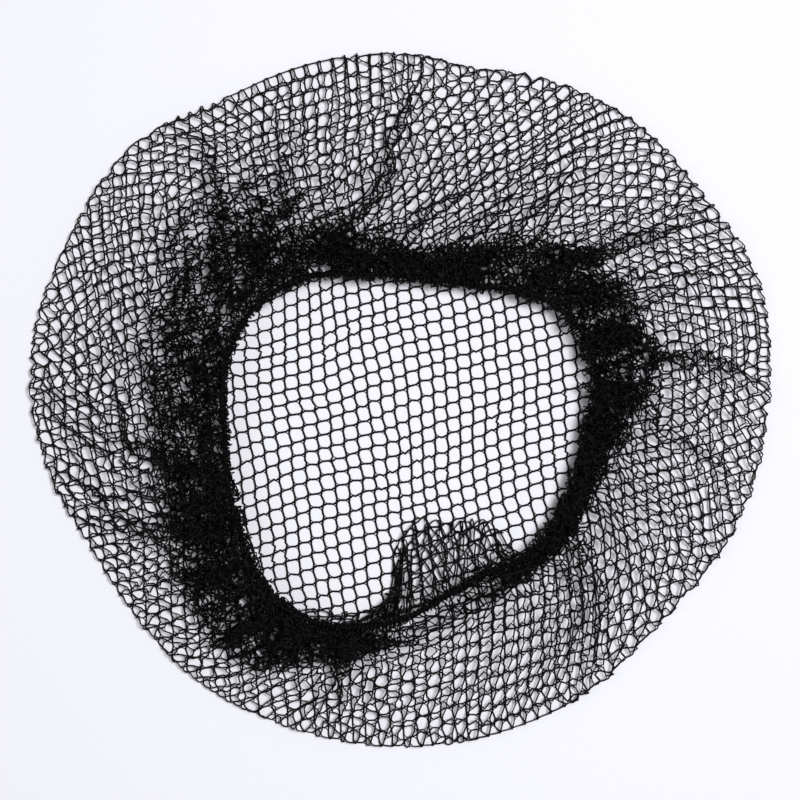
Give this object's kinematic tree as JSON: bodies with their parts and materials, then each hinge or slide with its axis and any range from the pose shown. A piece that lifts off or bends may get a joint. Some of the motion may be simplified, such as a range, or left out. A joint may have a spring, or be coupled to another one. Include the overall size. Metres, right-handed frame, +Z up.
{
  "type": "hairnet",
  "caption": "Round honeycomb net cap with a gathered elastic edge, lying open on a surface with its crown down and its rim folded back over it.",
  "frame": {"origin": "on the surface that the crown lies on, below the middle of the net's outline", "axes": "+Z up from the surface, +X to the right and +Y away in the picture's view from above; the opening's middle lies a little towards -Y"},
  "size_m": [0.2956, 0.2776, 0.0179],
  "materials": {
    "net_nylon": "black knitted nylon net, soft and nearly matt, with a faint cool sheen along the strands",
    "elastic": "black textile-covered rubber cord, matt"
  },
  "bodies": {
    "root": {"net": "net_nylon", "elastic_cord": "elastic"}
  },
  "joints": []
}
